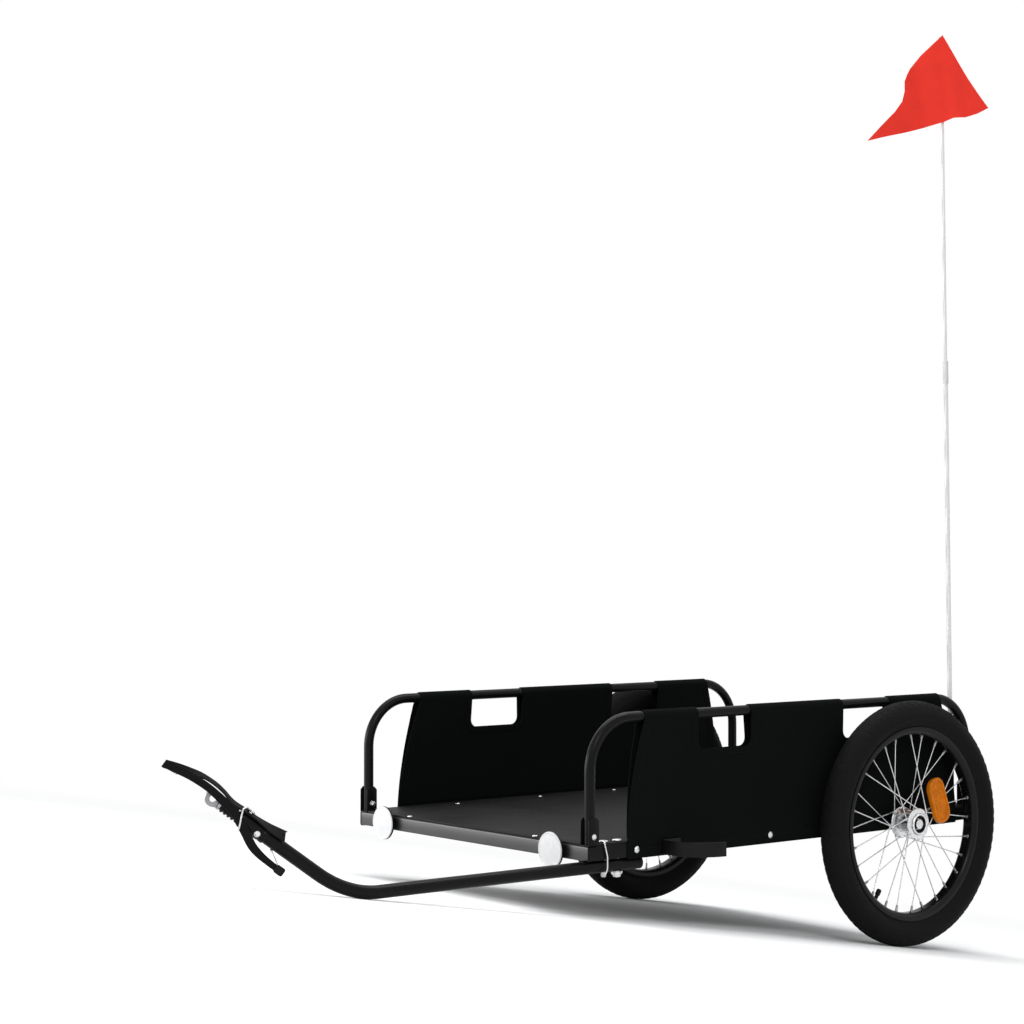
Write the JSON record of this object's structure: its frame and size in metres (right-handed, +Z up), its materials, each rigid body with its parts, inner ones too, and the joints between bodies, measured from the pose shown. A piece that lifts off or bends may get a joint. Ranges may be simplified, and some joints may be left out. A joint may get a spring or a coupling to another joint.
{
  "type": "bicycle cargo trailer",
  "caption": "Flat-bed cargo trailer for a bicycle: tube frame with floor board, fabric sides on bent hoops, spoked wheels, side tow arm, reflectors and a safety flag.",
  "frame": {"origin": "middle of the bounding box at ground level, with the empty trailer parked on both tyres and the bend of its tow arm", "axes": "+X to the trailer's rear, +Y to its right, +Z up from the ground; the load floor slopes down to the front by the parking angle"},
  "size_m": [1.5358, 0.7402, 1.5306],
  "materials": {
    "frame_paint": "black powder coat, satin",
    "floor": "dark grey board, fine grain",
    "panel_fabric": "black coated woven fabric",
    "webbing": "black woven webbing",
    "tyre": "black rubber",
    "rim_paint": "black, satin",
    "steel": "zinc plated",
    "rubber": "moulded",
    "black_plastic": "moulded",
    "white_reflector": "prismatic, gloss",
    "red_reflector": "prismatic, gloss",
    "amber_reflector": "prismatic, gloss",
    "pole": "off-white glass fibre",
    "flag_fabric": "red nylon"
  },
  "bodies": {
    "root": {"axle_beam": "frame_paint", "coupler_eye": "frame_paint", "coupler_joint": "rubber", "coupler_pin": "steel", "coupler_socket": "frame_paint", "cross_member": "frame_paint", "flag": "flag_fabric", "flag_ferrule": "steel", "flag_pole_lower": "pole", "flag_pole_upper": "pole", "flag_socket": "black_plastic", "floor_board": "floor", "front_left_bracket": "frame_paint", "front_left_reflector": "white_reflector", "front_left_reflector_base": "black_plastic", "front_rail": "frame_paint", "front_right_bracket": "frame_paint", "front_right_reflector": "white_reflector", "front_right_reflector_base": "black_plastic", "left_axle": "steel", "left_deflector": "frame_paint", "left_hoop": "frame_paint", "left_rail": "frame_paint", "left_side_panel": "panel_fabric", "lock_pin": "steel", "pivot_bolt": "steel", "rear_left_bracket": "frame_paint", "rear_left_reflector": "red_reflector", "rear_left_reflector_base": "black_plastic", "rear_rail": "frame_paint", "rear_right_bracket": "frame_paint", "rear_right_reflector": "red_reflector", "rear_right_reflector_base": "black_plastic", "right_axle": "steel", "right_deflector": "frame_paint", "right_hoop": "frame_paint", "right_rail": "frame_paint", "right_side_panel": "panel_fabric", "safety_strap": "webbing", "strap_hook": "black_plastic", "tow_arm": "frame_paint"},
    "left_wheel": {"left_hub": "steel", "left_rim": "rim_paint", "left_spokes": "steel", "left_tyre": "tyre", "left_valve": "rubber", "left_wheel_reflector": "amber_reflector"},
    "right_wheel": {"right_hub": "steel", "right_rim": "rim_paint", "right_spokes": "steel", "right_tyre": "tyre", "right_valve": "rubber", "right_wheel_reflector": "amber_reflector"}
  },
  "joints": [
    {"name": "left_wheel_spin", "type": "hinge", "parent": "root", "child": "left_wheel", "pos_m": [0.56191, -0.32, 0.2], "axis": [0, 1, 0], "continuous": true},
    {"name": "right_wheel_spin", "type": "hinge", "parent": "root", "child": "right_wheel", "pos_m": [0.56191, 0.32, 0.2], "axis": [0, 1, 0], "continuous": true}
  ]
}
